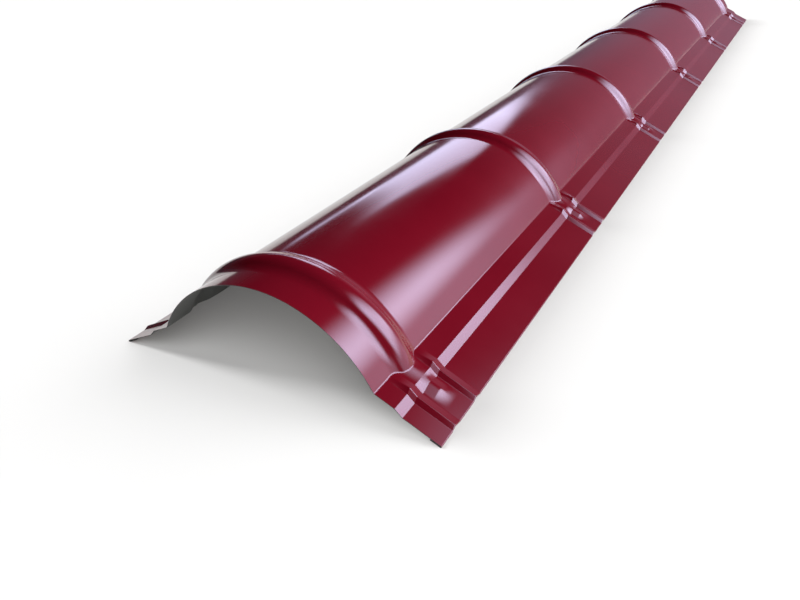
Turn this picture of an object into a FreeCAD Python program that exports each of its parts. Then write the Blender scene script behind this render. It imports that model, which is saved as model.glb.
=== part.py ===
"""Roof ridge cap: a half-round formed sheet with pressed ribs and beaded flanges, one solid.

Length runs along +Y, the section lies in XZ and +Z is up. The cap stands on its two hemmed
edges, with the origin at the middle of its footprint. All sizes are millimetres.
"""

import os

import FreeCAD
import Part
from math import cos, pi, radians, sin, sqrt, tan

os.makedirs("parts", exist_ok=True)

# Sheet, and the open hem folded under each outer edge
SHEET = 0.5
HEM_WIDTH = 10.0
HEM_GAP = 0.8
FOLD_FLATS = 3

# Section: barrel between the two creases, then a narrow strip, a steep step and the outer flange
CREASE_CHORD = 203.0
BARREL_RISE = 62.0
STRIP_RUN = 17.0
STEP_RUN = 6.0
EDGE_RUN = 31.5
FLANGE_SLOPE = radians(25.0)
STEP_SLOPE = radians(45.0)

# Length, and the pressings along it
LENGTH = 1970.0
COLLAR = 44.0
RIB_PITCH = 370.0
TAIL_LEAST = 60.0
RIB_WIDTH = 40.0
RIB_HEIGHT = 6.0

# Pressings across each flange at a rib: the rib's nose, which flattens the step and dies out over the
# flange, and a bead on either side of it, which grows from the crease to the step and eases to the hem.
# Each bead's crest leans towards the collar end
NOSE_WIDTH = 23.5
NOSE_CREST = 8.0
NOSE_AT_CREASE = 2.6
NOSE_AT_LIP = 0.2
NOSE_AT_FOOT = 2.4
NOSE_LEVEL = 8.0
NOSE_TAPER = 12.0
BEAD_GAP = 0.5
BEAD_WIDTH = 13.25
BEAD_CREST = 1.5
BEAD_LEAN = 1.9
BEAD_AT_STEP = 3.0
BEAD_AT_HEM = 2.2

# How far cutting shapes run past what they cut, and the plain margin beside each rib
RUN_OUT = 5.0
RIB_MARGIN = 2.0

# Largest volume, in cubic millimetres, over four corners that still count as flat
FLATNESS = 1e-6

# Worked out from the sizes above
half_chord = CREASE_CHORD / 2
barrel_radius = (half_chord ** 2 + BARREL_RISE ** 2) / (2 * BARREL_RISE)
strip_drop = STRIP_RUN * tan(FLANGE_SLOPE)
step_drop = STEP_RUN * tan(STEP_SLOPE)
edge_drop = EDGE_RUN * tan(FLANGE_SLOPE)
bead_middle = NOSE_WIDTH / 2 + BEAD_GAP + BEAD_WIDTH / 2
rib_half = max(RIB_WIDTH / 2, bead_middle + BEAD_WIDTH / 2) + RIB_MARGIN
rib_count = int((LENGTH - COLLAR - TAIL_LEAST) // RIB_PITCH) + 1
fold_radius = SHEET + HEM_GAP / 2
fold_turn = pi / (FOLD_FLATS + 1)


def vec(x, z):
    """Point or direction in the section plane."""
    return FreeCAD.Vector(x, 0, z)


# Directions of the flange and of the step, and the normals above them
along = vec(cos(FLANGE_SLOPE), -sin(FLANGE_SLOPE))
above = vec(sin(FLANGE_SLOPE), cos(FLANGE_SLOPE))
step_above = vec(sin(STEP_SLOPE), cos(STEP_SLOPE))
mitre = (above + step_above) * (SHEET / (1 + above.dot(step_above)))


def fold_corners(centre, radius):
    """Corners of the hem's fold, whose flats touch a circle, from its top to its bottom."""
    turns = [fold_turn * (k + 1 / 2) for k in range(FOLD_FLATS + 1)]
    reach = radius / cos(fold_turn / 2)
    return [centre + (above * cos(turn) + along * sin(turn)) * reach for turn in turns]


# Top corners of the right flange, with the fold of the hem resting on the floor
tip_to_fold = (along + above) * -fold_radius
fold_depth = -min(corner.z for corner in fold_corners(tip_to_fold, fold_radius))
crease = vec(half_chord, strip_drop + step_drop + edge_drop + fold_depth)
lip = crease + vec(STRIP_RUN, -strip_drop)
foot = lip + vec(STEP_RUN, -step_drop)
nose_top = foot + along * (NOSE_LEVEL / cos(FLANGE_SLOPE))
nose_end = nose_top + along * (NOSE_TAPER / cos(FLANGE_SLOPE))
tip = foot + vec(EDGE_RUN, -edge_drop)

# The hem under it
fold = fold_corners(tip + tip_to_fold, fold_radius)
fold_inside = fold_corners(tip + tip_to_fold, fold_radius - SHEET)
hem_under = tip - along * HEM_WIDTH - above * (2 * fold_radius)
hem_end = [hem_under, hem_under + above * SHEET]
barrel_centre = crease + vec(-half_chord, BARREL_RISE - barrel_radius)


def flipped(points):
    """The same corners on the left half, in reverse order."""
    return [vec(-p.x, p.z) for p in reversed(points)]


def on_strip(radius, depth):
    """Where a circle about the barrel's centre meets the strip, at a depth below its top face."""
    start = crease - above * depth - barrel_centre
    reach = start.dot(along)
    slide = sqrt(reach ** 2 - start.dot(start) + radius ** 2) - reach
    return barrel_centre + start + along * slide


def rib_line():
    """The rib's line along +Y: an arc for its crest and two flats easing each side into the barrel."""
    def at(share, lift):
        return FreeCAD.Vector(0, share * RIB_WIDTH, lift * RIB_HEIGHT)

    radius = (RIB_WIDTH ** 2 / 4 + RIB_HEIGHT ** 2) / (4 * RIB_HEIGHT)
    sag = radius - sqrt(radius ** 2 - RIB_WIDTH ** 2 / 64 - RIB_HEIGHT ** 2 / 16)
    sink = FreeCAD.Vector(0, RIB_HEIGHT / 2, -RIB_WIDTH / 4).normalize() * sag
    back_sink = FreeCAD.Vector(0, -sink.y, sink.z)
    front = Part.makePolygon([at(-1 / 2, 0), at(-3 / 8, 1 / 4) + sink, at(-1 / 4, 1 / 2)]).Edges
    crest = Part.Arc(at(-1 / 4, 1 / 2), at(0, 1), at(1 / 4, 1 / 2)).toShape()
    back = Part.makePolygon([at(1 / 4, 1 / 2), at(3 / 8, 1 / 4) + back_sink, at(1 / 2, 0)]).Edges
    return front + [crest] + back


def flat_topped(middle, width, top, crest):
    """A pressing along +Y with straight sides and a level crest: places, and shares of its height there."""
    return [(middle - width / 2, 0), (top - crest / 2, 1), (top + crest / 2, 1), (middle + width / 2, 0)]


def beaded(middle):
    """Rows of one bead: places along +Y, and its share of the nose's and of the bead's lift there."""
    rows = flat_topped(middle, BEAD_WIDTH, middle - BEAD_LEAN, BEAD_CREST)
    return [(y, 0, share) for y, share in rows]


def path(pressing, reach):
    """Line along +Y through a pressing, level on both sides of it to a reach."""
    start = Part.makeLine(FreeCAD.Vector(0, -reach, 0), pressing[0].Vertexes[0].Point)
    end = Part.makeLine(pressing[-1].Vertexes[-1].Point, FreeCAD.Vector(0, reach, 0))
    return Part.Wire([start] + pressing + [end])


def flats(corners):
    """Flat faces over four corners: one, or two triangles where the corners don't lie in a plane."""
    a, b, c, d = corners
    if abs((b - a).cross(d - a).dot(c - a)) < FLATNESS:
        patches = [[a, b, c, d]]
    else:
        patches = [[a, b, c], [a, c, d]]
    return [Part.Face(Part.makePolygon(patch + patch[:1])) for patch in patches]


def skinned(rings):
    """Solid through a row of like polygons, with flat faces from each to the next and a face on each end."""
    faces = [Part.Face(Part.makePolygon(ring + ring[:1])) for ring in (rings[0], rings[-1])]
    for near, far in zip(rings, rings[1:]):
        sides = zip(near, near[1:] + near[:1], far[1:] + far[:1], far)
        for corners in sides:
            faces.extend(flats(corners))
    shell = Part.Shell(faces)
    shell.sewShape()
    return Part.Solid(shell)


def pressed(sheet, hem, below, reach):
    """Solid form of both flanges with their pressings, from the corners of the sheet, the hem and below."""
    nose_lifts = [NOSE_AT_CREASE, NOSE_AT_CREASE, NOSE_AT_LIP, NOSE_AT_FOOT, NOSE_AT_FOOT, 0]
    ease = (BEAD_AT_HEM - BEAD_AT_STEP) / EDGE_RUN
    over_flange = [BEAD_AT_STEP + ease * run for run in (0, NOSE_LEVEL, NOSE_LEVEL + NOSE_TAPER)]
    bead_lifts = [0, 0, BEAD_AT_STEP] + over_flange
    nose_rows = [(y, share, 0) for y, share in flat_topped(0, NOSE_WIDTH, 0, NOSE_CREST)]
    rows = [(-reach, 0, 0)] + beaded(-bead_middle) + nose_rows + beaded(bead_middle) + [(reach, 0, 0)]
    rings = []
    for y, nose, bead in rows:
        lifts = [nose * a + bead * b for a, b in zip(nose_lifts, bead_lifts)]
        right = [corner + vec(0, lift) for corner, lift in zip(sheet, lifts)]
        right += [corner + vec(0, bead * BEAD_AT_HEM) for corner in hem] + below
        rings.append([corner + FreeCAD.Vector(0, y, 0) for corner in right + flipped(right)])
    return skinned(rings)


def turned(radius, way):
    """Solid of revolution about the barrel's axis, with its radius following a path."""
    start = way.Vertexes[0].Point
    end = way.Vertexes[-1].Point
    line = way.copy()
    line.translate(barrel_centre + vec(0, radius))
    foot = [barrel_centre + FreeCAD.Vector(0, y, 0) for y in (start.y, end.y)]
    rest = [line.Vertexes[-1].Point, foot[1], foot[0], line.Vertexes[0].Point]
    face = Part.Face(Part.Wire(line.Edges + Part.makePolygon(rest).Edges))
    return face.revolve(barrel_centre, FreeCAD.Vector(0, 1, 0), 360)


def plain_run(start, end):
    """Straight length of the cap: its section, extruded."""
    outside = on_strip(barrel_radius, 0)
    inside = on_strip(barrel_radius - SHEET, SHEET)
    right = [outside, lip, foot] + fold + hem_end + fold_inside[::-1] + [foot - mitre, lip - mitre, inside]
    left = flipped(right)
    crown = barrel_centre + vec(0, barrel_radius)
    edges = [Part.Arc(left[-1], crown, right[0]).toShape()]
    edges.extend(Part.makePolygon(right).Edges)
    edges.append(Part.Arc(right[-1], crown - vec(0, SHEET), left[0]).toShape())
    edges.extend(Part.makePolygon(left).Edges)
    face = Part.Face(Part.Wire(edges))
    face.translate(FreeCAD.Vector(0, start, 0))
    return face.extrude(FreeCAD.Vector(0, end - start, 0))


def rib_run():
    """One rib across the barrel with the flange pressings, cut out between outer and inner forms."""
    inner_reach = rib_half + RUN_OUT
    rib = rib_line()
    start = crease - along * RUN_OUT
    outermost = fold[FOLD_FLATS // 2]

    top = [start, crease, lip, foot, nose_top, nose_end]
    low = vec(outermost.x, -2 * RUN_OUT)
    outer = pressed(top, fold[:FOLD_FLATS // 2 + 1], [low], rib_half)

    back = above * SHEET
    under = [start - back, crease - back, lip - mitre, foot - mitre, nose_top - back, nose_end - back]
    hem = fold_inside + hem_end[::-1] + fold[:FOLD_FLATS // 2:-1]
    beside = outermost + vec(RUN_OUT, 0)
    deep = vec(beside.x, -3 * RUN_OUT)
    inner = pressed(under, hem + [outermost, beside], [deep], inner_reach)

    barrel = turned(barrel_radius, path(rib, rib_half))
    hollow = turned(barrel_radius - SHEET, path(rib, inner_reach))
    return barrel.fuse(outer).cut(hollow.fuse(inner))


near_end = -LENGTH / 2
rib_places = [near_end + COLLAR + RIB_PITCH * k for k in range(rib_count)]
rib = rib_run()
runs = []
reached = near_end
for place in rib_places:
    runs.append(plain_run(reached, place - rib_half))
    copy = rib.copy()
    copy.translate(FreeCAD.Vector(0, place, 0))
    runs.append(copy)
    reached = place + rib_half
runs.append(plain_run(reached, LENGTH / 2))

cap = runs[0].multiFuse(runs[1:]).removeSplitter()
cap.Solids[0].exportStep("parts/ridge_cap.step")
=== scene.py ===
"""Roof ridge cap: the visual model of a half-round painted steel cap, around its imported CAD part.

The file is laid out as an add-on and run as a script. Lengths are metres, +Y runs along the cap
from the collar end to the lap end, +X is its right side and +Z is up.
"""

from math import atan2, ceil, cos, pi, radians, sin, sqrt, tan

import bpy
from bpy.props import FloatProperty, FloatVectorProperty, IntProperty, PointerProperty
from mathutils import Matrix, Vector


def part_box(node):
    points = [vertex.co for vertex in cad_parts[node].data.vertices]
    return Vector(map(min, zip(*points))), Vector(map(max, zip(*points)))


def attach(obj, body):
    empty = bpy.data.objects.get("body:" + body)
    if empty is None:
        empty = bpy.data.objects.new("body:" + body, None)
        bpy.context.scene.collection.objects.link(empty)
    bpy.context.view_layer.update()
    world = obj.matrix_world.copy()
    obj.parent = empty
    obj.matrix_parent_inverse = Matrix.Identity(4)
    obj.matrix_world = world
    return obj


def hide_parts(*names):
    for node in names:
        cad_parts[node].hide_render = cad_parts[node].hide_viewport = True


bl_info = {
    "name": "Roof Ridge Cap",
    "version": (1, 0, 0),
    "blender": (4, 5, 0),
    "location": "View3D > Sidebar > Ridge Cap",
    "description": "Builds a half-round steel ridge cap, its coatings and a plain studio",
    "category": "Add Mesh",
}

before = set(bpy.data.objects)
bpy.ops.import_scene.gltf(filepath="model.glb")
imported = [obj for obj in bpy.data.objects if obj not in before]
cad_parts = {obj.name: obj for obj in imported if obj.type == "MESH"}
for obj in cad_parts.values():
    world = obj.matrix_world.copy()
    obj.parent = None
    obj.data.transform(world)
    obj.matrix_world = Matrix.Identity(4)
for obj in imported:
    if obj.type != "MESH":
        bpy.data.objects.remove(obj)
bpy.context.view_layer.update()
CAP_LOW, CAP_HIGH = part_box("ridge_cap")

# Material slots of the sheet's faces
COAT, BACK, CUT = range(3)

# Shares of the straight runs at which the sheet has points, some of them close to the bends
RUN_SHARES = (0.06, 0.94, 1.0)
NOSE_SHARES = (0.15, 0.7, 1.0)
SAG_SHARES = (0.1, 0.25, 0.45, 0.7, 1.0)
EDGE_SHARES = (0.15, 0.55, 0.96, 1.0)

# Share of the bead's spacing over which the tilt is taken, and the least angle of a sharp edge
TILT_SHARE = 0.1
SHARP_ANGLE = radians(50)

# Room for rounding where the ribs are counted
ROUNDING = 1e-6

# Looks of the coatings and of the cut steel, with the relief in metres
TOP_IOR = 1.6
TOP_RELIEF = 0.0000002
BACK_IOR = 1.45
BACK_RELIEF = 0.00001
BACK_VALUES = {"Gloss_Low": 0.42, "Gloss_High": 0.55, "Grain_Size": 0.0015}
NOISE_LOW, NOISE_HIGH = 0.3, 0.7
GRAIN_DETAIL = 2
CLOUD_DETAIL = 4
SHEAR_SCALE = 1600.0
SHEAR_DETAIL = 3
SHEAR_SHADE = 0.6
STEEL_METALLIC = 0.5
STEEL_SMOOTH, STEEL_ROUGH = 0.35, 0.55

# Middle of each soft light, as a turn from +Y towards +X and a climb above level
WINDOW_PLACE = (radians(57), radians(40))
SIDE_PLACE = (radians(-23), radians(19))
HAZE_PLACE = (radians(15), radians(15))

# Edges of each soft light, as slopes across and up from its middle, dark at Out and full at In
WINDOW_EDGES = {
    "Left_Out": -0.675, "Left_In": -0.444,
    "Slant_Out": -0.726, "Slant_In": -0.034, "Slant_Lean": 1.03,
    "Right_Out": 0.68, "Right_In": 0.26, "Right_Lean": -0.115,
    "Bottom_Out": -0.56, "Bottom_In": -0.19,
    "Top_Out": 0.658, "Top_In": 0.256,
}
SILL_EDGES = {
    "Left_Out": -0.90, "Left_In": -0.30,
    "Right_Out": 1.20, "Right_In": 0.70,
    "Top_Out": -0.226, "Top_In": -0.476,
}
SIDE_EDGES = {
    "Left_Out": -0.22, "Left_In": -0.11, "Left_Lean": 0.6,
    "Right_Out": 0.135, "Right_In": 0.085, "Right_Lean": 0.6,
    "Bottom_Out": -0.172, "Bottom_In": -0.150,
    "Top_Out": 0.162, "Top_In": 0.136,
}
RAIL_EDGES = {
    "Left_Out": -0.42, "Left_In": -0.36,
    "Right_Out": -0.20, "Right_In": -0.26,
    "Bottom_Out": -0.186, "Bottom_In": -0.160,
    "Top_Out": -0.112, "Top_In": -0.138,
}
HAZE_EDGES = {
    "Left_Out": -0.90, "Left_In": -0.30,
    "Right_Out": 1.20, "Right_In": 0.60,
    "Top_Out": 0.36, "Top_In": -0.05,
}

# An edge that isn't given lies far out, and a light shows only in front of the plane through the middle
OPEN_OUT, OPEN_IN = -9.0, -8.0
LEAST_DEPTH = 0.001
FRONT_DEPTH = 0.01

# Heights of a direction, as its Z, at which the room is dark and fully lit
ROOM_DARK, ROOM_LIT = 0.45, 0.15

# Camera's sensor in millimetres and the nearest distance that it sees
SENSOR_WIDTH = 36.0
CLIP_START = 0.01


class CapSection(bpy.types.PropertyGroup):
    """Sizes of the section that is the same all along the cap."""

    sheet: FloatProperty(
        name="Sheet", description="Thickness of the sheet", default=0.0005, unit="LENGTH", precision=5)
    crease_chord: FloatProperty(
        name="Crease Chord", description="Width between the two creases", default=0.203, unit="LENGTH")
    barrel_rise: FloatProperty(
        name="Barrel Rise", description="Height of the crown above the creases", default=0.062,
        unit="LENGTH")
    strip_run: FloatProperty(
        name="Strip Run", description="Level run of the strip beside each crease", default=0.017,
        unit="LENGTH")
    step_run: FloatProperty(
        name="Step Run", description="Level run of the step", default=0.006, unit="LENGTH")
    edge_run: FloatProperty(
        name="Edge Run", description="Level run of the outer flange", default=0.0315, unit="LENGTH")
    flange_slope: FloatProperty(
        name="Flange Slope", description="Fall of the strip and the flange", default=radians(25),
        unit="ROTATION")
    step_slope: FloatProperty(
        name="Step Slope", description="Fall of the step", default=radians(45), unit="ROTATION")
    hem_width: FloatProperty(
        name="Hem Width", description="Width of the hem folded under", default=0.010, unit="LENGTH")
    hem_gap: FloatProperty(
        name="Hem Gap", description="Gap inside the folded hem", default=0.0008, unit="LENGTH", precision=4)
    crease_radius: FloatProperty(
        name="Crease Radius", description="Radius of the crease's bend", default=0.0030, unit="LENGTH",
        precision=4)
    step_radius: FloatProperty(
        name="Step Radius", description="Radius of the bends at the step", default=0.0020, unit="LENGTH",
        precision=4)


class CapPressings(bpy.types.PropertyGroup):
    """Sizes of the ribs and of the pressings across the flanges."""

    collar: FloatProperty(
        name="Collar", description="From the near end to the first rib", default=0.044, unit="LENGTH")
    rib_pitch: FloatProperty(
        name="Rib Pitch", description="From rib to rib", default=0.370, unit="LENGTH")
    tail_least: FloatProperty(
        name="Least Tail", description="Least length behind the last rib", default=0.060, unit="LENGTH")
    rib_width: FloatProperty(
        name="Rib Width", description="Width of a rib at its foot", default=0.040, unit="LENGTH")
    rib_height: FloatProperty(
        name="Rib Height", description="Height of a rib over the barrel", default=0.006, unit="LENGTH")
    nose_width: FloatProperty(
        name="Nose Width", description="Width of the rib's nose over the flange", default=0.0235,
        unit="LENGTH")
    nose_at_crease: FloatProperty(
        name="Nose at Crease", description="Lift of the nose at the crease", default=0.0026, unit="LENGTH",
        precision=4)
    nose_at_lip: FloatProperty(
        name="Nose at Lip", description="Lift of the nose at the top of the step", default=0.0002,
        unit="LENGTH", precision=4)
    nose_at_foot: FloatProperty(
        name="Nose at Foot", description="Lift of the nose at the foot of the step", default=0.0024,
        unit="LENGTH", precision=4)
    nose_level: FloatProperty(
        name="Nose Level", description="Level run of the nose below the step", default=0.008, unit="LENGTH")
    nose_taper: FloatProperty(
        name="Nose Taper", description="Level run over which the nose dies out", default=0.012,
        unit="LENGTH")
    nose_bend: FloatProperty(
        name="Nose Bend", description="Share of the nose's side that each bend takes", default=0.25,
        subtype="FACTOR")
    bead_gap: FloatProperty(
        name="Bead Gap", description="Level gap beside the nose", default=0.0005, unit="LENGTH",
        precision=4)
    bead_width: FloatProperty(
        name="Bead Width", description="Width of each bead", default=0.01325, unit="LENGTH", precision=5)
    bead_lean: FloatProperty(
        name="Bead Lean", description="How far each bead's crest lies towards the collar end",
        default=0.0019, unit="LENGTH", precision=4)
    bead_at_step: FloatProperty(
        name="Bead at Step", description="Height of each bead at the step", default=0.0030, unit="LENGTH",
        precision=4)
    bead_at_hem: FloatProperty(
        name="Bead at Hem", description="Height of each bead at the hem", default=0.0022, unit="LENGTH",
        precision=4)
    bead_bend: FloatProperty(
        name="Bead Bend", description="Share of a bead's side that each bend takes", default=0.06,
        subtype="FACTOR")


class CapMesh(bpy.types.PropertyGroup):
    """How finely the sheet is divided."""

    barrel_parts: IntProperty(
        name="Barrel", description="Divisions of half the barrel", default=20, min=4)
    bend_parts: IntProperty(
        name="Bends", description="Divisions of each bend", default=4, min=1)
    fold_parts: IntProperty(
        name="Fold", description="Divisions of the hem's fold", default=6, min=2)
    rib_step: FloatProperty(
        name="Rib Step", description="Largest spacing of the cross sections at a rib", default=0.0011,
        unit="LENGTH", precision=4)
    bead_step: FloatProperty(
        name="Bead Step", description="Spacing of the cross sections at a bead's bends", default=0.0004,
        unit="LENGTH", precision=4)
    plain_step: FloatProperty(
        name="Plain Step", description="Largest spacing elsewhere", default=0.080, unit="LENGTH")


class CapFinish(bpy.types.PropertyGroup):
    """Colours of the coatings and of the bare edge."""

    coat_colour: FloatVectorProperty(
        name="Top Coat", description="Wine-red gloss coil coating", default=(0.180, 0.0042, 0.0105),
        subtype="COLOR", size=3, min=0, max=1)
    back_colour: FloatVectorProperty(
        name="Back Coat", description="Grey-green back coat", default=(0.105, 0.107, 0.100),
        subtype="COLOR", size=3, min=0, max=1)
    steel_colour: FloatVectorProperty(
        name="Cut Steel", description="Zinc-grey steel at the cut ends", default=(0.10, 0.095, 0.095),
        subtype="COLOR", size=3, min=0, max=1)


class CapStage(bpy.types.PropertyGroup):
    """Camera, floor and light."""

    eye: FloatVectorProperty(
        name="Eye", description="Place of the camera", default=(0.3200, -1.3240, 0.34053),
        subtype="TRANSLATION", size=3)
    eye_turn: FloatProperty(
        name="Turn", description="Turn of the view from +Y towards -X", default=radians(29.77),
        unit="ROTATION")
    eye_fall: FloatProperty(
        name="Fall", description="Fall of the view below level", default=radians(30.11), unit="ROTATION")
    eye_roll: FloatProperty(
        name="Roll", description="Roll of the camera about the view", default=radians(-2.08),
        unit="ROTATION")
    lens: FloatProperty(
        name="Lens", description="Focal length on a 36 mm wide sensor", default=31.55)
    floor_colour: FloatVectorProperty(
        name="Floor", description="Colour of the floor", default=(0.45, 0.45, 0.327),
        subtype="COLOR", size=3, min=0, max=1)
    floor_glow: FloatVectorProperty(
        name="Floor Glow", description="Least brightness of the floor, in the deepest shade",
        default=(0.105, 0.102, 0.101), subtype="COLOR", size=3, min=0, max=1)
    floor_span: FloatProperty(
        name="Floor Span", description="Side of the floor", default=120.0, unit="LENGTH")
    floor_light_tint: FloatVectorProperty(
        name="Floor Light Tint", description="Colour of the lights that fall on the floor alone",
        default=(0.727, 0.727, 1.0), subtype="COLOR", size=3, min=0, max=1)
    front_level: FloatProperty(
        name="Front Level", description="Strength of the floor's light in front", default=3.8)
    front_turn: FloatProperty(
        name="Front Turn", description="Where that light stands, from +Y towards +X", default=radians(148),
        unit="ROTATION")
    front_climb: FloatProperty(
        name="Front Climb", description="Height of that light above level", default=radians(45),
        unit="ROTATION")
    front_spread: FloatProperty(
        name="Front Spread", description="Angle that it covers", default=radians(50), unit="ROTATION")
    left_level: FloatProperty(
        name="Left Level", description="Strength of the floor's light on the left", default=5.6)
    left_turn: FloatProperty(
        name="Left Turn", description="Where that light stands, from +Y towards +X", default=radians(-97),
        unit="ROTATION")
    left_climb: FloatProperty(
        name="Left Climb", description="Height of that light above level", default=radians(31),
        unit="ROTATION")
    left_spread: FloatProperty(
        name="Left Spread", description="Angle that it covers", default=radians(16), unit="ROTATION")
    window_level: FloatProperty(
        name="Window Level", description="Brightness of the large soft light", default=7.6)
    sill_level: FloatProperty(
        name="Sill Level", description="Brightness below the large soft light", default=1.4)
    side_level: FloatProperty(
        name="Side Level", description="Brightness of the small soft light", default=3.0)
    rail_level: FloatProperty(
        name="Rail Level", description="Brightness of the thin rail beside the small soft light",
        default=2.2)
    low_level: FloatProperty(
        name="Low Level", description="Brightness of the room near the horizon", default=0.06)
    haze_level: FloatProperty(
        name="Haze Level", description="Brightness of the room ahead, beside the large soft light",
        default=0.21)
    haze_tint: FloatVectorProperty(
        name="Haze Tint", description="Colour of the room ahead", default=(1.5, 0.92, 1.28),
        subtype="COLOR", size=3, min=0, max=3)
    light_tint: FloatVectorProperty(
        name="Tint", description="Colour of the soft lights", default=(0.93, 0.93, 1.28),
        subtype="COLOR", size=3, min=0, max=2)


def rounded(offset, width, height):
    """Height of a rounded pressing: a crest arc and two foot arcs of one radius, tangent to each other."""
    reach = abs(offset)
    radius = (width ** 2 / 4 + height ** 2) / (4 * height)
    if reach < width / 4:
        return height - radius + sqrt(radius ** 2 - reach ** 2)
    if reach < width / 2:
        return radius - sqrt(radius ** 2 - (width / 2 - reach) ** 2)
    return 0.0


def eased(offset, front, back, bend):
    """Share from 0 at a pressing's feet to 1 at its crest: straight sides between rounded bends."""
    part = min(abs(offset) / (front if offset < 0 else back), 1)
    curve = 1 / (2 * bend * (1 - bend))
    if part < bend:
        return 1 - curve * part ** 2
    if part > 1 - bend:
        return curve * (1 - part) ** 2
    return 1 - curve * bend * (2 * part - bend)


def bead_middle(press):
    """From the middle of a rib to the middle of each narrow bead."""
    return press.nose_width / 2 + press.bead_gap + press.bead_width / 2


def rib_reach(press):
    """How far a rib and its pressings reach to either side."""
    return max(press.rib_width / 2, bead_middle(press) + press.bead_width / 2)


def rib_places(press):
    """Where the ribs lie along the cap."""
    length = CAP_HIGH.y - CAP_LOW.y
    count = int((length - press.collar - press.tail_least + ROUNDING) // press.rib_pitch) + 1
    return [CAP_LOW.y + press.collar + press.rib_pitch * k for k in range(count)]


def cross_places(press, fineness):
    """Where the sheet has cross sections: close together at the ribs and far apart between them."""
    reach = rib_reach(press)
    marks = {-reach, reach}
    for side in (-1, 1):
        middle = side * bead_middle(press)
        for bend in (-press.bead_width / 2, -press.bead_lean, press.bead_width / 2):
            marks.update(middle + bend + fineness.bead_step * k for k in (-1, 0, 1))
    marks = sorted(mark for mark in marks if abs(mark) <= reach)
    places = [CAP_LOW.y]

    def run_to(end, step):
        start = places[-1]
        parts = max(1, ceil((end - start) / step))
        places.extend(start + (end - start) * k / parts for k in range(1, parts + 1))

    for rib in rib_places(press):
        run_to(rib + marks[0], fineness.plain_step)
        for mark in marks[1:]:
            run_to(rib + mark, fineness.rib_step)
    run_to(CAP_HIGH.y, fineness.plain_step)
    return places


def lifts(press, place):
    """Lift of the barrel at a place along the cap, and the shares of the nose and the beads there."""
    rib = min(rib_places(press), key=lambda middle: abs(place - middle))
    offset = place - rib
    barrel = rounded(offset, press.rib_width, press.rib_height)
    nose = eased(offset, press.nose_width / 2, press.nose_width / 2, press.nose_bend)
    front = press.bead_width / 2 - press.bead_lean
    back = press.bead_width / 2 + press.bead_lean
    crests = [side * bead_middle(press) - press.bead_lean for side in (-1, 1)]
    bead = max(eased(offset - crest, front, back, press.bead_bend) for crest in crests)
    return barrel, nose, bead


def facing(angle):
    """Direction square to a run that falls or climbs at an angle, on its upper side."""
    return Vector((-sin(angle), cos(angle)))


def heading(angle):
    """Direction along a run that falls or climbs at an angle."""
    return Vector((cos(angle), sin(angle)))


def straight(start, end, shares=RUN_SHARES):
    """Points and normals along a straight run, at shares of it."""
    run = end - start
    upward = facing(atan2(run.y, run.x))
    return [(start.lerp(end, share), upward) for share in shares]


def sagging(start, end, sag, shares):
    """Points and normals along a run that hangs below its straight line as a parabola."""
    run = end - start
    points = []
    for share in shares:
        climb = atan2(run.y - sag * (1 - 2 * share), run.x)
        points.append((start.lerp(end, share) - Vector((0, sag * share * (1 - share))), facing(climb)))
    return points


def arc(centre, radius, first, last, parts):
    """Points and normals round an arc. A negative radius puts the centre above the sheet."""
    angles = [first + (last - first) * k / parts for k in range(1, parts + 1)]
    return [(centre + facing(a) * radius, facing(a)) for a in angles]


def bent(points, corner, before, after, radius, parts):
    """Carries a line of points straight on to a corner and round its bend."""
    turn = after - before
    side = -radius if turn > 0 else radius
    start = corner - heading(before) * radius * tan(abs(turn) / 2)
    points += straight(points[-1][0], start)
    points += arc(start - facing(before) * side, side, before, after, parts)


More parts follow.
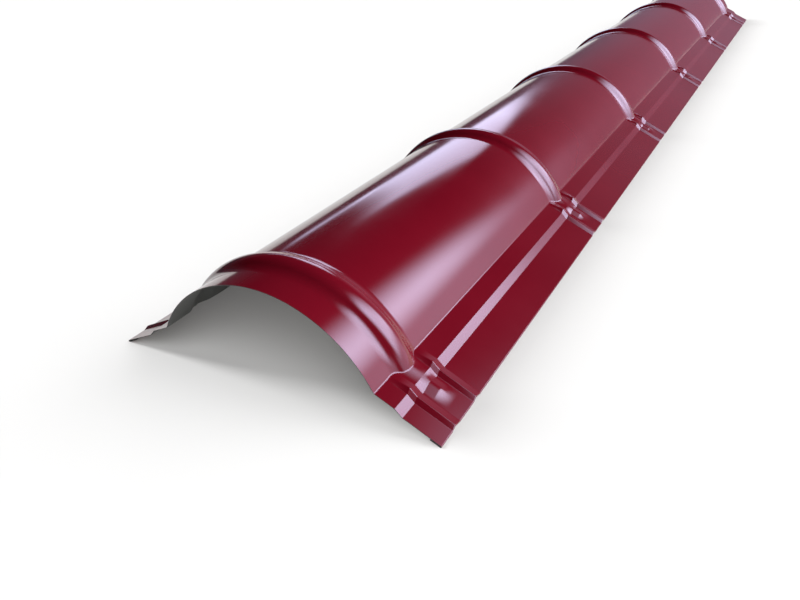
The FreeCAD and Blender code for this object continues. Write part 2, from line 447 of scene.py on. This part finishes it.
def half_section(section, press, fineness, place):
    """Points and normals of the top face of the right half, from the crown to the end of the hem."""
    barrel_lift, nose, bead = lifts(press, place)
    half_chord = section.crease_chord / 2
    radius = (half_chord ** 2 + section.barrel_rise ** 2) / (2 * section.barrel_rise)
    fall = section.flange_slope
    fold_radius = section.sheet + section.hem_gap / 2
    crease_height = CAP_HIGH.z - press.rib_height - section.barrel_rise
    crease = Vector((half_chord, crease_height))
    lip = crease + Vector((1, -tan(fall))) * section.strip_run
    foot = lip + Vector((1, -tan(section.step_slope))) * section.step_run
    tip = foot + Vector((1, -tan(fall))) * section.edge_run
    nose_top = foot + heading(-fall) * press.nose_level / cos(fall)
    nose_end = nose_top + heading(-fall) * press.nose_taper / cos(fall)
    nose_lifts = [press.nose_at_crease, press.nose_at_lip, press.nose_at_foot, press.nose_at_foot, 0, 0]
    bead_lifts = [0, press.bead_at_step]
    for corner in (foot, nose_top, nose_end, tip):
        share = (corner.x - foot.x) / section.edge_run
        bead_lifts.append(press.bead_at_step + (press.bead_at_hem - press.bead_at_step) * share)
    corners = [crease, lip, foot, nose_top, nose_end, tip]
    for corner, nose_lift, bead_lift in zip(corners, nose_lifts, bead_lifts):
        corner.y += nose * nose_lift + bead * bead_lift
    slopes = [atan2(b.y - a.y, b.x - a.x) for a, b in zip(corners, corners[1:])]

    # The crease's bend touches both the barrel and the strip
    barrel_centre = Vector((0, crease_height + section.barrel_rise - radius))
    outer = radius + barrel_lift
    ahead = heading(slopes[0])
    offset = crease + facing(slopes[0]) * section.crease_radius - barrel_centre
    reach = offset.dot(ahead)
    slide = sqrt(reach ** 2 - offset.length_squared + (outer + section.crease_radius) ** 2) - reach
    crease_centre = barrel_centre + offset + ahead * slide
    touch = atan2(crease_centre.y - barrel_centre.y, crease_centre.x) - pi / 2

    parts = fineness.bend_parts
    points = [(barrel_centre + Vector((0, outer)), facing(0))]
    points += arc(barrel_centre, outer, 0, touch, fineness.barrel_parts)
    points += arc(crease_centre, -section.crease_radius, touch, slopes[0], parts)
    bent(points, lip, slopes[0], slopes[1], section.step_radius, parts)
    bent(points, foot, slopes[1], slopes[2], section.step_radius, parts)

    # The hem lies parallel to the flange, under an open fold
    fold_start = tip - heading(-fall) * fold_radius
    fold_centre = fold_start - facing(-fall) * fold_radius
    under = -fall - pi
    points += straight(points[-1][0], nose_top, NOSE_SHARES)
    points += sagging(nose_top, nose_end, nose * press.nose_at_foot, SAG_SHARES)
    points += straight(nose_end, fold_start, EDGE_SHARES)
    points += arc(fold_centre, fold_radius, -fall, under, fineness.fold_parts)
    points += straight(points[-1][0], points[-1][0] + heading(under) * (section.hem_width - fold_radius))
    return points


def whole_section(section, press, fineness, place):
    """Points and normals of the top face from the end of the left hem to the end of the right one."""
    right = half_section(section, press, fineness, place)
    left = [(Vector((-point.x, point.y)), Vector((-normal.x, normal.y))) for point, normal in right[:0:-1]]
    return left + right


def tilted(section, press, fineness, place, line):
    """Normals of the top face at a place along the cap, with the tilt that the pressings give it there."""
    step = fineness.bead_step * TILT_SHARE
    before = whole_section(section, press, fineness, place - step)
    after = whole_section(section, press, fineness, place + step)
    normals = []
    for (_, normal), (near, _), (far, _) in zip(line, before, after):
        climb = (far - near).dot(normal) / (2 * step)
        normals.append(Vector((normal.x, -climb, normal.y)).normalized())
    return normals


def sheet_mesh(section, press, fineness):
    """Mesh of the formed sheet: one closed skin of quads, with its cut ends."""
    places = cross_places(press, fineness)
    vertices = []
    normals = []
    for place in places:
        line = whole_section(section, press, fineness, place)
        top = [point for point, _ in line]
        back = [point - normal * section.sheet for point, normal in line]
        vertices.extend((point.x, place, point.y) for point in top + back[::-1])
        upward = tilted(section, press, fineness, place, line)
        normals.extend(upward + [-normal for normal in upward[::-1]])
    width = len(line)
    size = 2 * width
    finishes = [COAT] * (width - 1) + [CUT] + [BACK] * (width - 1) + [CUT]
    faces = []
    marks = []
    for near in range(0, (len(places) - 1) * size, size):
        far = near + size
        for k in range(size):
            after = (k + 1) % size
            faces.append((near + k, near + after, far + after, far + k))
            marks.append(finishes[k])
    for first, inward in ((0, True), ((len(places) - 1) * size, False)):
        for k in range(width - 1):
            corners = tuple(first + c for c in (k, k + 1, size - 2 - k, size - 1 - k))
            faces.append(corners[::-1] if inward else corners)
            marks.append(CUT)

    mesh = bpy.data.meshes.new("formed_sheet")
    mesh.from_pydata(vertices, [], faces)
    mesh.polygons.foreach_set("material_index", marks)
    mesh.polygons.foreach_set("use_smooth", [True] * len(faces))
    mesh.set_sharp_from_angle(angle=SHARP_ANGLE)
    mesh.validate()

    # A zero normal leaves a corner as it is
    keep = Vector((0, 0, 0))
    mesh.normals_split_custom_set(
        [keep if mark == CUT else normals[k] for face, mark in zip(faces, marks) for k in face])
    mesh.update()
    return mesh


def add_node(tree, kind, **values):
    """New node with the given attributes set."""
    node = tree.nodes.new(kind)
    for name, value in values.items():
        setattr(node, name, value)
    return node


def feed(socket, value):
    """Links an input to an output socket, or sets it to a value."""
    if isinstance(value, bpy.types.NodeSocket):
        socket.id_data.links.new(value, socket)
    else:
        socket.default_value = value


def fill(node, **inputs):
    """Links or sets a node's inputs by name, with underscores for spaces."""
    for name, value in inputs.items():
        feed(node.inputs[name.replace("_", " ")], value)


def maths(tree, operation, *values):
    """Math node's result for one to three values or sockets."""
    node = add_node(tree, "ShaderNodeMath", operation=operation)
    for socket, value in zip(node.inputs, values):
        feed(socket, value)
    return node.outputs["Value"]


def mapped(tree, value, start, end, low, high, interpolation="LINEAR"):
    """Value moved from one range to another, and held inside it."""
    node = add_node(tree, "ShaderNodeMapRange", interpolation_type=interpolation)
    fill(node, Value=value, From_Min=start, From_Max=end, To_Min=low, To_Max=high)
    return node.outputs["Result"]


def new_group(name, inputs, outputs):
    """Empty shader node group with named sockets, and its two end nodes."""
    group = bpy.data.node_groups.new(name, "ShaderNodeTree")
    for label, kind, value in inputs:
        socket = group.interface.new_socket(label, in_out="INPUT", socket_type=kind)
        if value is not None:
            socket.default_value = value
    for label, kind in outputs:
        group.interface.new_socket(label, in_out="OUTPUT", socket_type=kind)
    start = group.nodes.new("NodeGroupInput")
    end = group.nodes.new("NodeGroupOutput")
    return group, start, end


def coil_coat_group():
    """Fine relief and gloss of a rolled-on coating: a tone, a roughness and a height over the surface."""
    group, start, end = new_group(
        "Coil Coat",
        [
            ("Grain Size", "NodeSocketFloat", 0.002),
            ("Cloud Size", "NodeSocketFloat", 0.090),
            ("Gloss Low", "NodeSocketFloat", 0.10),
            ("Gloss High", "NodeSocketFloat", 0.14),
            ("Tone Low", "NodeSocketFloat", 0.95),
            ("Tone High", "NodeSocketFloat", 1.05),
        ],
        [("Tone", "NodeSocketFloat"), ("Roughness", "NodeSocketFloat"), ("Height", "NodeSocketFloat")],
    )
    place = add_node(group, "ShaderNodeTexCoord").outputs["Object"]
    grain = add_node(group, "ShaderNodeTexNoise")
    grain_scale = maths(group, "DIVIDE", 1, start.outputs["Grain Size"])
    fill(grain, Vector=place, Scale=grain_scale, Detail=GRAIN_DETAIL)
    clouds = add_node(group, "ShaderNodeTexNoise")
    cloud_scale = maths(group, "DIVIDE", 1, start.outputs["Cloud Size"])
    fill(clouds, Vector=place, Scale=cloud_scale, Detail=CLOUD_DETAIL)
    results = {}
    for result, label in (("Tone", "Tone"), ("Roughness", "Gloss")):
        low = start.outputs[f"{label} Low"]
        high = start.outputs[f"{label} High"]
        results[result] = mapped(group, clouds.outputs["Fac"], NOISE_LOW, NOISE_HIGH, low, high)
    fill(end, Height=grain.outputs["Fac"], **results)
    return group


def coated(name, group, colour, values, relief, ior):
    """Material of a coating whose tone, gloss and fine relief come from the shared group."""
    material = bpy.data.materials.new(name)
    material.use_nodes = True
    tree = material.node_tree
    shader = tree.nodes["Principled BSDF"]
    coat = add_node(tree, "ShaderNodeGroup", node_tree=group)
    fill(coat, **values)
    tint = add_node(tree, "ShaderNodeMix", data_type="RGBA", blend_type="MULTIPLY")
    fill(tint, Factor=1)
    first, second = [socket for socket in tint.inputs if socket.type == "RGBA"]
    feed(first, (*colour, 1))
    feed(second, coat.outputs["Tone"])
    result = next(socket for socket in tint.outputs if socket.type == "RGBA")
    bump = add_node(tree, "ShaderNodeBump")
    fill(bump, Strength=1, Distance=relief, Height=coat.outputs["Height"])
    fill(
        shader,
        Base_Color=result,
        Roughness=coat.outputs["Roughness"],
        IOR=ior,
        Normal=bump.outputs["Normal"],
    )
    return material


def cut_steel(colour):
    """Bare zinc-coated steel where the sheet was cut, with fine shear marks across the edge."""
    material = bpy.data.materials.new("cut_steel")
    material.use_nodes = True
    tree = material.node_tree
    shader = tree.nodes["Principled BSDF"]
    place = add_node(tree, "ShaderNodeTexCoord").outputs["Object"]
    marks = add_node(tree, "ShaderNodeTexNoise")
    fill(marks, Vector=place, Scale=SHEAR_SCALE, Detail=SHEAR_DETAIL)
    ramp = add_node(tree, "ShaderNodeValToRGB")
    dark, light = ramp.color_ramp.elements
    dark.color = (*(SHEAR_SHADE * part for part in colour), 1)
    light.color = (*colour, 1)
    fill(ramp, Fac=marks.outputs["Fac"])
    roughness = mapped(tree, marks.outputs["Fac"], NOISE_LOW, NOISE_HIGH, STEEL_SMOOTH, STEEL_ROUGH)
    fill(shader, Base_Color=ramp.outputs["Color"], Metallic=STEEL_METALLIC, Roughness=roughness)
    return material


class RIDGECAP_OT_formed_sheet(bpy.types.Operator):
    """Build the formed and coated sheet in place of the plain solid"""

    bl_idname = "ridgecap.formed_sheet"
    bl_label = "Formed Sheet"

    def execute(self, context):
        scene = context.scene
        finish = scene.cap_finish
        mesh = sheet_mesh(scene.cap_section, scene.cap_pressings, scene.cap_mesh)
        group = coil_coat_group()
        top = coated("wine_red_coat", group, finish.coat_colour, {}, TOP_RELIEF, TOP_IOR)
        back = coated("grey_back_coat", group, finish.back_colour, BACK_VALUES, BACK_RELIEF, BACK_IOR)
        for material in (top, back, cut_steel(finish.steel_colour)):
            mesh.materials.append(material)
        piece = bpy.data.objects.new("formed_sheet", mesh)
        scene.collection.objects.link(piece)
        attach(piece, "root")
        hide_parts("ridge_cap")
        return {"FINISHED"}


def direction(turn, climb):
    """Direction of a turn from +Y towards +X and a climb above level."""
    return Vector((sin(turn) * cos(climb), cos(turn) * cos(climb), sin(climb)))


def softbox_group():
    """Mask of a soft light with five eased sides, seen on a plane square to its middle direction."""
    upright = ("Left", "Slant", "Right")
    level = ("Bottom", "Top")
    vectors = [(name, "NodeSocketVector", None) for name in ("Direction", "Middle", "Across", "Up")]
    sides = []
    for name in upright + level:
        sides += [(f"{name} Out", "NodeSocketFloat", OPEN_OUT), (f"{name} In", "NodeSocketFloat", OPEN_IN)]
    leans = [(f"{name} Lean", "NodeSocketFloat", 0.0) for name in upright]
    group, start, end = new_group("Soft Light", vectors + sides + leans, [("Mask", "NodeSocketFloat")])
    given = start.outputs

    def dot(name):
        node = add_node(group, "ShaderNodeVectorMath", operation="DOT_PRODUCT")
        feed(node.inputs[0], given["Direction"])
        feed(node.inputs[1], given[name])
        return node.outputs["Value"]

    depth = dot("Middle")
    ahead = maths(group, "MAXIMUM", depth, LEAST_DEPTH)
    across = maths(group, "DIVIDE", dot("Across"), ahead)
    height = maths(group, "DIVIDE", dot("Up"), ahead)
    places = {name: height for name in level}
    for name in upright:
        lean = maths(group, "MULTIPLY", height, given[f"{name} Lean"])
        places[name] = maths(group, "SUBTRACT", across, lean)
    mask = maths(group, "GREATER_THAN", depth, FRONT_DEPTH)
    for name, place in places.items():
        edge = mapped(group, place, given[f"{name} Out"], given[f"{name} In"], 0, 1, "SMOOTHSTEP")
        mask = maths(group, "MULTIPLY", mask, edge)
    feed(end.inputs["Mask"], mask)
    return group


def soft_light(tree, group, way, place, edges):
    """Mask of one soft light in the world, from the place of its middle and its edges."""
    node = add_node(tree, "ShaderNodeGroup", node_tree=group)
    turn, climb = place
    middle = direction(turn, climb)
    across = direction(turn + pi / 2, 0)
    fill(node, Direction=way, Middle=middle, Across=across, Up=across.cross(middle), **edges)
    return node.outputs["Mask"]


def set_world(stage):
    """World with a large soft light behind on the right, a dim sill under it, a small light on the left
    with a thin rail beside it, a haze between them and a dim room."""
    world = bpy.data.worlds.new("studio")
    world.use_nodes = True
    tree = world.node_tree
    background = tree.nodes["Background"]
    group = softbox_group()
    way = add_node(tree, "ShaderNodeTexCoord").outputs["Generated"]
    height = add_node(tree, "ShaderNodeSeparateXYZ")
    fill(height, Vector=way)
    level = mapped(tree, height.outputs["Z"], ROOM_DARK, ROOM_LIT, 0, stage.low_level)
    lights = (
        (SIDE_PLACE, RAIL_EDGES, stage.rail_level),
        (SIDE_PLACE, SIDE_EDGES, stage.side_level),
        (WINDOW_PLACE, SILL_EDGES, stage.sill_level),
        (WINDOW_PLACE, WINDOW_EDGES, stage.window_level),
    )
    for place, edges, brightness in lights:
        mask = soft_light(tree, group, way, place, edges)
        level = maths(tree, "MULTIPLY_ADD", mask, brightness, level)
    fill(background, Color=(*stage.light_tint, 1), Strength=level)
    haze = soft_light(tree, group, way, HAZE_PLACE, HAZE_EDGES)
    glow = add_node(tree, "ShaderNodeBackground")
    fill(glow, Color=(*stage.haze_tint, 1), Strength=maths(tree, "MULTIPLY", haze, stage.haze_level))
    both = add_node(tree, "ShaderNodeAddShader")
    for socket, light in zip(both.inputs, (background, glow)):
        feed(socket, light.outputs["Background"])
    fill(tree.nodes["World Output"], Surface=both.outputs["Shader"])
    bpy.context.scene.world = world


def set_camera(stage):
    """Camera from its place, turn, fall and roll."""
    ahead = direction(-stage.eye_turn, -stage.eye_fall)
    level = ahead.cross(Vector((0, 0, 1))).normalized()
    up = level.cross(ahead)
    right = level * cos(stage.eye_roll) + up * sin(stage.eye_roll)
    turn = Matrix((right, right.cross(ahead), -ahead)).transposed()
    camera = bpy.data.cameras.new("camera")
    camera.sensor_fit = "HORIZONTAL"
    camera.sensor_width = SENSOR_WIDTH
    camera.lens = stage.lens
    camera.clip_start = CLIP_START
    eye = bpy.data.objects.new("camera", camera)
    eye.matrix_world = Matrix.Translation(stage.eye) @ turn.to_4x4()
    bpy.context.scene.collection.objects.link(eye)
    bpy.context.scene.camera = eye


def floor_light(stage, level, turn, climb, spread):
    """Soft light of the floor, from its strength, its place and the angle that it covers."""
    lamp = bpy.data.lights.new("floor_light", "SUN")
    lamp.energy = level
    lamp.angle = spread
    lamp.color = stage.floor_light_tint
    light = bpy.data.objects.new("floor_light", lamp)
    light.rotation_euler = direction(turn, climb).to_track_quat("Z", "Y").to_euler()
    bpy.context.scene.collection.objects.link(light)
    return light


def set_floor(stage):
    """Plain pale floor under the cap, with two lights that fall on the floor alone."""
    half = stage.floor_span / 2
    mesh = bpy.data.meshes.new("floor")
    corners = [(-half, -half), (half, -half), (half, half), (-half, half)]
    mesh.from_pydata([(x, y, CAP_LOW.z) for x, y in corners], [], [(0, 1, 2, 3)])
    material = bpy.data.materials.new("floor")
    material.use_nodes = True
    tree = material.node_tree
    shader = tree.nodes["Principled BSDF"]
    fill(shader, Base_Color=(*stage.floor_colour, 1), Roughness=1, Specular_IOR_Level=0)
    rays = add_node(tree, "ShaderNodeLightPath").outputs
    seen = maths(tree, "MAXIMUM", rays["Is Camera Ray"], rays["Is Glossy Ray"])
    seen = maths(tree, "MAXIMUM", seen, rays["Is Transmission Ray"])
    fill(shader, Emission_Color=(*stage.floor_glow, 1), Emission_Strength=seen)
    mesh.materials.append(material)
    floor = bpy.data.objects.new("floor", mesh)
    bpy.context.scene.collection.objects.link(floor)

    lit = bpy.data.collections.new("lit_by_floor_lights")
    lit.objects.link(floor)
    front = floor_light(stage, stage.front_level, stage.front_turn, stage.front_climb, stage.front_spread)
    left = floor_light(stage, stage.left_level, stage.left_turn, stage.left_climb, stage.left_spread)
    for light in (front, left):
        light.light_linking.receiver_collection = lit


class RIDGECAP_OT_stage(bpy.types.Operator):
    """Set the floor, the light and the camera"""

    bl_idname = "ridgecap.stage"
    bl_label = "Stage"

    def execute(self, context):
        scene = context.scene
        set_floor(scene.cap_stage)
        set_world(scene.cap_stage)
        set_camera(scene.cap_stage)
        scene.view_settings.view_transform = "Standard"
        return {"FINISHED"}


class RIDGECAP_PT_panel(bpy.types.Panel):
    """Sidebar panel with the cap's sizes, finishes and operators"""

    bl_label = "Ridge Cap"
    bl_idname = "RIDGECAP_PT_panel"
    bl_space_type = "VIEW_3D"
    bl_region_type = "UI"
    bl_category = "Ridge Cap"

    def draw(self, context):
        for name in GROUPS:
            box = self.layout.box()
            group = getattr(context.scene, name)
            for field in group.bl_rna.properties.keys():
                if field not in ("rna_type", "name"):
                    box.prop(group, field)
        for operator in OPERATORS:
            self.layout.operator(operator.bl_idname)


GROUPS = {
    "cap_section": CapSection,
    "cap_pressings": CapPressings,
    "cap_mesh": CapMesh,
    "cap_finish": CapFinish,
    "cap_stage": CapStage,
}
OPERATORS = (RIDGECAP_OT_formed_sheet, RIDGECAP_OT_stage)
CLASSES = (*GROUPS.values(), *OPERATORS, RIDGECAP_PT_panel)


def register():
    """Register the classes and their settings."""
    for kind in CLASSES:
        bpy.utils.register_class(kind)
    for name, kind in GROUPS.items():
        setattr(bpy.types.Scene, name, PointerProperty(type=kind))


def unregister():
    """Take the classes and their settings out again."""
    for name in GROUPS:
        delattr(bpy.types.Scene, name)
    for kind in reversed(CLASSES):
        bpy.utils.unregister_class(kind)


def main():
    """Build the cap and its stage."""
    register()
    bpy.ops.ridgecap.formed_sheet()
    bpy.ops.ridgecap.stage()


if __name__ == "__main__":
    main()
